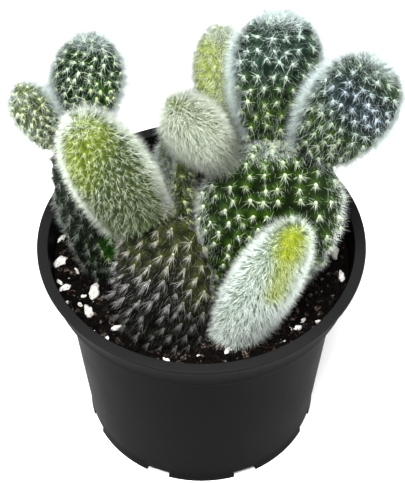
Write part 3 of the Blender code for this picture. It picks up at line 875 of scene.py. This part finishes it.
def pot_material():
    """Satin black moulded plastic with a fine grain, faint scuffs and a painted highlight on the
    lip.
    """
    finish = Finish("black_plastic", specular=0.022)
    cloud = finish.noise(18 * MM, detail=4)
    grain = finish.noise(0.35 * MM, detail=2)
    height = finish.height()
    stretched = finish.add("ShaderNodeMapping",
                           {"Vector": finish.place, "Scale": (1.0, 1.0, 0.12)}).outputs[0]
    flow = finish.noise(1.6 * MM, detail=3, place=stretched)
    dust = (finish.noise(2.2 * MM, detail=6, roughness=0.7) - 0.62).between(0.0, 0.12)
    near_rim = height.between(RIM_Z - 16 * MM, RIM_Z)
    black = finish.mix((cloud * 0.7 + flow * 0.3).clamped(), (0.45, 0.45, 0.47),
                       (0.75, 0.75, 0.78))
    dusty = finish.mix(dust * (near_rim * 0.22 + 0.05), black, (11, 10, 9))
    # painted highlight: the top of the lip is painted lighter
    lip_highlight = height.between(RIM_Z - 0.9 * MM, RIM_Z - 0.1 * MM)
    finish.coat(lip_highlight * 0.5, dusty, (3.2, 3.2, 3.3))
    finish.roughen(0.36 + cloud * 0.12 + flow * 0.06)
    finish.bump(grain * 0.6 + flow * 0.4, 0.05 * MM, 0.35)
    return finish.material


def soil_material():
    """Moist peat: near black, with brown crumbs."""
    finish = Finish("peat", roughness=0.9, specular=0.08)
    coarse = finish.noise(4 * MM, detail=6)
    fine = finish.noise(0.9 * MM, detail=5, roughness=0.7)
    cell = finish.cells(1.6 * MM)
    brown = (fine * 1.3 + coarse * 0.7 - 0.75).between(0.0, 0.55)
    base = finish.mix(brown, (0.04, 0.03, 0.025), (1, 0.72, 0.55))
    finish.coat((cell - 0.78).between(0.0, 0.2) * fine, base, (10, 8, 6.4))
    finish.bump(fine * 0.7 + coarse * 0.3, 0.9 * MM, 0.8)
    return finish.material


def crumb_material():
    finish = Finish("peat_crumbs", roughness=0.92, specular=0.08)
    shade = finish.attribute("shade").between(0.74, 0.92)
    fine = finish.noise(0.7 * MM, detail=4)
    dark = finish.mix(fine, (0.04, 0.03, 0.025), (0.8, 0.6, 0.48))
    warm = finish.mix((fine - 0.42).between(0.0, 0.24), (0.4, 0.32, 0.27), (15, 12.5, 10.4))
    finish.coat(shade, dark, warm)
    finish.bump(fine, 0.4 * MM, 0.7)
    return finish.material


def perlite_material():
    """White, porous, with a little soil in the pores."""
    finish = Finish("perlite", roughness=0.85)
    pores = finish.noise(0.55 * MM, detail=4)
    clean = finish.mix(finish.attribute("shade"), (50, 48.5, 45.5), (68, 67, 64.5))
    finish.coat((pores - 0.3).between(0.0, 0.16), (16, 11, 8), clean)
    finish.bump(pores, 0.5 * MM, 0.9)
    return finish.material


def fibre_material():
    finish = Finish("peat_fibres", roughness=0.8)
    finish.coat(finish.attribute("shade"), (2.4, 1.3, 0.9), (11, 6, 4))
    return finish.material


# Camera, light and floor

PLANT_MIDDLE = (0, 0, 0.08)
WORLD_LIGHT = 0.55
VIEW_GAMMA = 0.8
FLOOR_SIZE = 3.0

# Lights: name, place, size and power
LIGHTS = (
    ("key", (-0.12, -0.36, 0.95), (0.6, 0.5), 24),
    ("fill_left", (-0.75, -0.12, 0.35), (0.3, 0.6), 4.2),
    ("fill_right", (0.75, -0.10, 0.35), (0.3, 0.6), 4.6),
)


def make_camera():
    data = bpy.data.cameras.new("camera")
    data.sensor_width = SENSOR
    data.lens = SENSOR * FOCAL_PIXELS / max(IMAGE_SIZE)
    data.shift_x = (IMAGE_SIZE[0] / 2 - RIM_PIXEL[0]) / max(IMAGE_SIZE)
    data.shift_y = (RIM_PIXEL[1] - IMAGE_SIZE[1] / 2) / max(IMAGE_SIZE)
    data.clip_start = 0.01
    camera = new_object("camera", data)
    turn = Matrix((RIGHT, UPWARD, -FORWARD)).transposed().to_4x4()
    camera.matrix_world = Matrix.Translation(EYE) @ turn
    bpy.context.scene.camera = camera


def on_soil(pixel):
    """Point of the soil's level that a pixel of the photograph shows."""
    across = (pixel[0] - RIM_PIXEL[0]) / FOCAL_PIXELS
    up = (RIM_PIXEL[1] - pixel[1]) / FOCAL_PIXELS
    ray = FORWARD + RIGHT * across + UPWARD * up
    return EYE + ray * ((SOIL_Z - EYE.z) / ray.z)


def soft_light(name, place, size, power):
    """Rectangular light that looks at the middle of the plant."""
    data = bpy.data.lights.new(name, "AREA")
    data.shape = "RECTANGLE"
    data.size, data.size_y = size
    data.energy = power
    light = new_object(name, data)
    light.location = place
    way = Vector(PLANT_MIDDLE) - Vector(place)
    light.rotation_euler = way.to_track_quat("-Z", "Y").to_euler()


def make_studio():
    world = bpy.data.worlds.new("studio")
    bpy.context.scene.world = world
    world.use_nodes = True
    back = world.node_tree.nodes["Background"]
    back.inputs["Color"].default_value = (1, 1, 1, 1)
    back.inputs["Strength"].default_value = WORLD_LIGHT
    for light in LIGHTS:
        soft_light(*light)
    bm = bmesh.new()
    bmesh.ops.create_grid(bm, x_segments=1, y_segments=1, size=FLOOR_SIZE)
    floor = new_object("floor", mesh_of(bm, "floor"))
    finish = Finish("pale_floor", roughness=0.8)
    finish.coat(finish.noise(0.4), (94, 94, 94), (96, 96, 96))
    floor.data.materials.append(finish.material)
    bpy.context.scene.view_settings.view_transform = "Standard"
    bpy.context.scene.view_settings.gamma = VIEW_GAMMA


# Pot

POT_SEGMENTS = 192
SHARP = math.radians(35)
WALL_SHARES = (0.06, 0.25, 0.5, 0.75, 0.95)  # rings down the wall


def arc(middle, radius, start, stop, steps=5):
    """Points of a round corner in the pot's profile, angles in degrees."""
    turns = np.radians(np.linspace(start, stop, steps))
    return [(middle[0] + radius * math.cos(t), middle[1] + radius * math.sin(t)) for t in turns]


def pot_profile():
    """Section of the pot from the inside of the lip, over it, down the outside and back up."""
    step_z = RIM_Z - COLLAR_HEIGHT
    floor_top = FLOOR_Z + FLOOR_THICK
    taper = (WALL_TOP_R - WALL_BOTTOM_R) / (step_z - FLOOR_Z)
    inner_bottom = WALL_BOTTOM_R + taper * FLOOR_THICK - WALL_THICK
    edge, foot_edge = 0.35 * MM, 0.4 * MM
    wall = [(WALL_BOTTOM_R + taper * (height - FLOOR_Z), height)
            for height in (step_z + (FLOOR_Z - step_z) * share for share in WALL_SHARES)]
    return [
        *arc((RIM_R - LIP_WIDTH + edge, RIM_Z - edge), edge, 180, 90),
        *arc((RIM_R - edge, RIM_Z - edge), edge, 90, 0),
        *arc((RIM_R - edge, RIM_Z - LIP_THICK + edge * 0.6), edge, 0, -90),
        (COLLAR_TOP_R + 0.5 * MM, RIM_Z - LIP_THICK - 0.05 * MM),
        (COLLAR_TOP_R + 0.05 * MM, RIM_Z - LIP_THICK - 0.6 * MM),
        (COLLAR_BOTTOM_R + 0.25 * MM, step_z + 2.0 * MM),
        *arc((COLLAR_BOTTOM_R - 0.45 * MM, step_z + 0.55 * MM), 0.6 * MM, 10, -90),
        (WALL_TOP_R + 0.8 * MM, step_z - 0.25 * MM),
        (WALL_TOP_R + 0.15 * MM, step_z - 0.7 * MM),
        *wall,
        (WALL_BOTTOM_R + 0.02 * MM, 2.6 * MM),
        *arc((FOOT_R - foot_edge, foot_edge), foot_edge, 0, -90, 4),
        *arc((FOOT_R - FOOT_WIDTH + foot_edge, foot_edge), foot_edge, -90, -180, 4),
        (FOOT_R - FOOT_WIDTH, FLOOR_Z),
        (DRAIN_R, FLOOR_Z),
        (DRAIN_R, floor_top),
        (inner_bottom, floor_top),
        (WALL_TOP_R - WALL_THICK, step_z + 0.6 * MM),
        (COLLAR_BOTTOM_R - WALL_THICK, step_z + 1.2 * MM),
        (RIM_R - LIP_WIDTH - 0.1 * MM, RIM_Z - 1.2 * MM),
    ]


def make_pot():
    profile = pot_profile()
    bm = bmesh.new()
    rings = []
    for k in range(POT_SEGMENTS):
        turn = 2 * math.pi * k / POT_SEGMENTS
        rings.append([bm.verts.new((*around(radius, turn), z)) for radius, z in profile])
    for k in range(POT_SEGMENTS):
        here, following = rings[k], rings[(k + 1) % POT_SEGMENTS]
        for i in range(len(profile)):
            j = (i + 1) % len(profile)
            bm.faces.new((here[i], here[j], following[j], following[i]))
    bmesh.ops.recalc_face_normals(bm, faces=bm.faces)
    bmesh.ops.translate(bm, vec=POT_AXIS, verts=bm.verts)
    whole = new_object("pot_whole", mesh_of(bm, "pot_body"))
    cutter = new_object("pot_openings", openings_mesh())
    cut = whole.modifiers.new("openings", "BOOLEAN")
    cut.operation = "DIFFERENCE"
    cut.object = cutter
    pot = new_object("nursery_pot", evaluated_mesh(whole, "nursery_pot"))
    discard(whole, cutter)
    pot.data.materials.clear()
    pot.data.shade_smooth()
    pot.data.set_sharp_from_angle(angle=SHARP)
    settle(pot, "pot_plastic", "pot", pot_material())


def openings_mesh():
    """Cutters for the notches in the foot and the holes in the floor."""
    bm = bmesh.new()
    notch = (FOOT_WIDTH + 3 * MM, 2 * FOOT_R * math.sin(NOTCH_ANGLE / 2), 2 * NOTCH_HEIGHT)

    def put(made, place, turns):
        bmesh.ops.translate(bm, vec=place, verts=made["verts"])
        turn = Matrix.Rotation(2 * math.pi * turns, 4, "Z")
        bmesh.ops.transform(bm, matrix=turn, verts=made["verts"])

    for k in range(NOTCHES):
        made = bmesh.ops.create_cube(bm, size=1)
        bmesh.ops.scale(bm, vec=notch, verts=made["verts"])
        put(made, (FOOT_R - FOOT_WIDTH / 2, 0, 0), (k + 0.5) / NOTCHES)
        made = bmesh.ops.create_cone(bm, cap_ends=True, segments=24, radius1=FLOOR_HOLE_R,
                                     radius2=FLOOR_HOLE_R, depth=6 * FLOOR_THICK)
        put(made, (FLOOR_HOLE_RING, 0, FLOOR_Z), (k + FLOOR_HOLE_TURN) / NOTCHES)
    bmesh.ops.translate(bm, vec=POT_AXIS, verts=bm.verts)
    return mesh_of(bm, "pot_openings")


# Soil

SOIL_RINGS = 72
SOIL_SEGMENTS = 300
SOIL_DEPTH = 4 * MM
SOIL_FOOT = 0.98  # radius of the plug's underside, of the soil's
SOIL_EDGE = 0.8 * MM
CRUMBS = 3600
# Perlite that the photograph doesn't show, behind the pads, and tiny grains everywhere: how many,
# widths in mm, lift in widths, flatness and the nearest y
OTHER_PERLITE = ((34, 0.8, 3.4, 0.22, 0.75, 4 * MM), (60, 0.3, 0.7, 0.4, 0.8, -RIM_R))
FIBRES, FIBRES_AT_FOOT = 150, 26
FIBRE_STEPS = 6
FIBRE_BEND = 0.35  # at each step, in radians
FIBRE_LENGTHS, FIBRE_RADII = (1.5, 6.0), (0.07, 0.17)  # in mm


def soil_relief(x, y):
    """Height of the soil over its level: slow swells, lumps and crumbs."""
    swell = noise.noise(Vector((x, y, 3.1 * MM)) / (11 * MM))
    lumps = noise.noise(Vector((x, y, 7.7 * MM)) / (3.6 * MM))
    crumbs = noise.turbulence(Vector((x, y, 1.3 * MM)) / (1.5 * MM), 3, True)
    return MM * (0.9 * swell + 0.9 * lumps + 1.0 * crumbs - 0.6)


def make_soil():
    """Crumbly top, closed below by a plug inside the pot."""
    points = [(0, 0, SOIL_Z + soil_relief(0, 0))]
    for ring in range(1, SOIL_RINGS + 1):
        radius = SOIL_R * ring / SOIL_RINGS
        for k in range(SOIL_SEGMENTS):
            angle = 2 * math.pi * (k + 0.5 * (ring % 2)) / SOIL_SEGMENTS
            x, y = around(radius, angle)
            points.append((x, y, SOIL_Z + soil_relief(x, y)))
    deep = SOIL_Z - SOIL_DEPTH
    for k in range(SOIL_SEGMENTS):
        points.append((*around(SOIL_FOOT * SOIL_R, 2 * math.pi * k / SOIL_SEGMENTS), deep))
    points.append((0, 0, deep))
    faces = [(side[0], *side[:0:-1]) for side in ring_faces(SOIL_RINGS + 1, SOIL_SEGMENTS, 1)]
    last = 1 + SOIL_RINGS * SOIL_SEGMENTS
    for k in range(SOIL_SEGMENTS):
        following = (k + 1) % SOIL_SEGMENTS
        faces += [(0, 1 + k, 1 + following), (last + k, len(points) - 1, last + following)]
    shifted = np.array(points) + np.array(POT_AXIS)
    soil = new_object("potting_soil", mesh_from("potting_soil", shifted, faces))
    settle(soil, "potting_mix", "soil", soil_material())


def lump_mesh(name, seed, detail, stretch=1.0):
    """Irregular grain about 1 m across, to be scaled where it is used."""
    bm = bmesh.new()
    bmesh.ops.create_icosphere(bm, subdivisions=detail, radius=0.5)
    for vert in bm.verts:
        rough = noise.noise(vert.co * 2.3 + Vector((seed * 5.1, 0, 0)))
        fine = noise.noise(vert.co * 5.0 + Vector((0, seed * 3.7, 0)))
        vert.co *= 1 + 0.55 * rough + 0.25 * fine
        vert.co.x *= stretch
        vert.co.y /= stretch ** 0.5
    return mesh_of(bm, name)


def pad_feet_clear(x, y):
    """True where no pad stands in the soil."""
    for spec in PADS.values():
        if spec["parent"] is None:
            for u in (0.08, 0.14, 0.2):
                middle = pad_centre(spec, u)
                across = unit(spec["across"])
                offset = np.array((x, y, middle[2])) - middle
                side = offset @ across / (spec["half_width"] * pad_girth(spec, u) + 0.4 * MM)
                depth = math.hypot(*(offset - across * (offset @ across))[:2])
                depth /= spec["half_thick"] * pad_girth(spec, u) ** THINNING + 0.4 * MM
                if side * side + depth * depth < 1:
                    return False
    return True


def grains(name, places, shapes, smooth, material):
    """Grains of given (x, y, z, width, flatness) as one mesh, each turned its own way."""
    draw = np.random.default_rng(len(name) + len(places))
    points, faces, shades = [], [], []
    plain = [(np.array([vert.co for vert in shape.vertices]),
              [tuple(polygon.vertices) for polygon in shape.polygons]) for shape in shapes]
    for *middle, width, flat in places:
        corners, sides = plain[draw.integers(len(plain))]
        turn = np.array(Matrix.Rotation(draw.uniform(0, 6.28), 3, "Z")
                        @ Matrix.Rotation(draw.uniform(-0.6, 0.6), 3, "X"))
        stretch = np.array((1, draw.uniform(0.65, 1.0), flat)) * width
        start = len(points)
        points.extend((corners * stretch) @ turn.T + np.array(middle))
        faces.extend(tuple(start + k for k in side) for side in sides)
        shades.extend([draw.uniform()] * len(corners))
    piece = new_object(name, mesh_from(name, points, faces, smooth))
    store(piece.data, "shade", shades)
    settle(piece, "potting_mix", material=material)


def on_top(x, y, lift):
    """Point on the soil, lifted a little, from places measured from the pot's axis."""
    return x + POT_AXIS.x, y, SOIL_Z + soil_relief(x, y) + lift


def scatter(count, draw):
    """Free places on the soil, measured from the pot's axis."""
    found = []
    while len(found) < count:
        radius = (SOIL_R - SOIL_EDGE) * math.sqrt(draw.uniform(0, 1))
        x, y = around(radius, draw.uniform(0, 2 * math.pi))
        if pad_feet_clear(x + POT_AXIS.x, y):
            found.append((x, y))
    return found


def make_crumbs():
    draw = np.random.default_rng(21)
    places = []
    for x, y in scatter(CRUMBS, draw):
        width = draw.gamma(2.0, 0.55) * MM + 0.35 * MM
        places.append((*on_top(x, y, width * 0.12), width, draw.uniform(0.5, 0.9)))
    shapes = [lump_mesh("crumb", seed, 1) for seed in range(5)]
    grains("soil_crumbs", places, shapes, False, crumb_material())


def make_perlite():
    draw = np.random.default_rng(22)
    places = []
    for u, v, width in PERLITE_PIXELS:
        spot = on_soil((u, v))
        x, y = spot.x - POT_AXIS.x, spot.y
        reach = math.hypot(x, y)
        most = SOIL_R - 0.6 * width * MM
        if reach > most:
            x, y = x * most / reach, y * most / reach
        places.append((*on_top(x, y, 0.25 * width * MM), width * MM, 0.75))
    for count, least, most, lift, flat, nearest in OTHER_PERLITE:
        for x, y in scatter(count, draw):
            if y > nearest:
                width = draw.uniform(least, most) * MM
                places.append((*on_top(x, y, lift * width), width, flat))
    shapes = [lump_mesh("perlite", seed, 3, stretch=1.45) for seed in range(10, 16)]
    grains("perlite_grains", places, shapes, True, perlite_material())


def make_fibres():
    """Thin bent roots and bark fibres lying on the soil."""
    draw = np.random.default_rng(23)
    points, faces, shades = [], [], []
    spots = scatter(FIBRES, draw)
    foot = on_soil(FIBRES_PIXEL)
    spots += [(foot.x - POT_AXIS.x + draw.normal(0, 3) * MM, foot.y + draw.normal(0, 1.6) * MM)
              for _ in range(FIBRES_AT_FOOT)]
    for x, y in spots:
        heading = draw.uniform(0, 2 * math.pi)
        length = draw.uniform(*FIBRE_LENGTHS) * MM
        radius = draw.uniform(*FIBRE_RADII) * MM
        shade = draw.uniform()
        start = len(points)
        for step in range(FIBRE_STEPS + 1):
            heading += draw.normal(0, FIBRE_BEND)
            x += length / FIBRE_STEPS * math.cos(heading)
            y += length / FIBRE_STEPS * math.sin(heading)
            reach = math.hypot(x, y)
            if reach > SOIL_R - SOIL_EDGE:
                x, y = x * 0.97, y * 0.97
            thin = radius * (1 - 0.6 * step / FIBRE_STEPS)
            middle = np.array(on_top(x, y, 0.5 * MM))
            side = np.array((-math.sin(heading), math.cos(heading), 0))
            for turn in (0, 2.09, 4.19):
                offset = side * math.cos(turn) * thin + np.array((0, 0, math.sin(turn) * thin))
                points.append(middle + offset)
                shades.append(shade)
        faces += ring_faces(FIBRE_STEPS + 1, 3, start)
        last = start + 3 * FIBRE_STEPS
        faces += [(start + 2, start + 1, start), (last, last + 1, last + 2)]
    piece = new_object("soil_fibres", mesh_from("soil_fibres", points, faces, smooth=False))
    bm = bmesh.new()
    bm.from_mesh(piece.data)
    bmesh.ops.recalc_face_normals(bm, faces=bm.faces)
    bm.to_mesh(piece.data)
    bm.free()
    store(piece.data, "shade", shades)
    settle(piece, "potting_mix", material=fibre_material())


# Pads


def make_pads():
    group = sprout_tree()
    slots = {part["node"]: part["material_slot"] for part in frame["record"]["subparts"]}
    for name, look in LOOKS.items():
        usual = {"name": name, "slot": slots[name], "group": group, "hang": (0, 0, -0.3),
                 "spots": (), "glow": (look["deep"], look["bright"], look["root"], look["end"])}
        spec = usual | look | PADS[name]
        skin = new_object(name + "_skin", skin_mesh(spec))
        settle(skin, spec["slot"], name, skin_material(spec))
        make_tufts(spec)


make_camera()
make_studio()
make_pot()
make_soil()
make_crumbs()
make_perlite()
make_fibres()
make_pads()
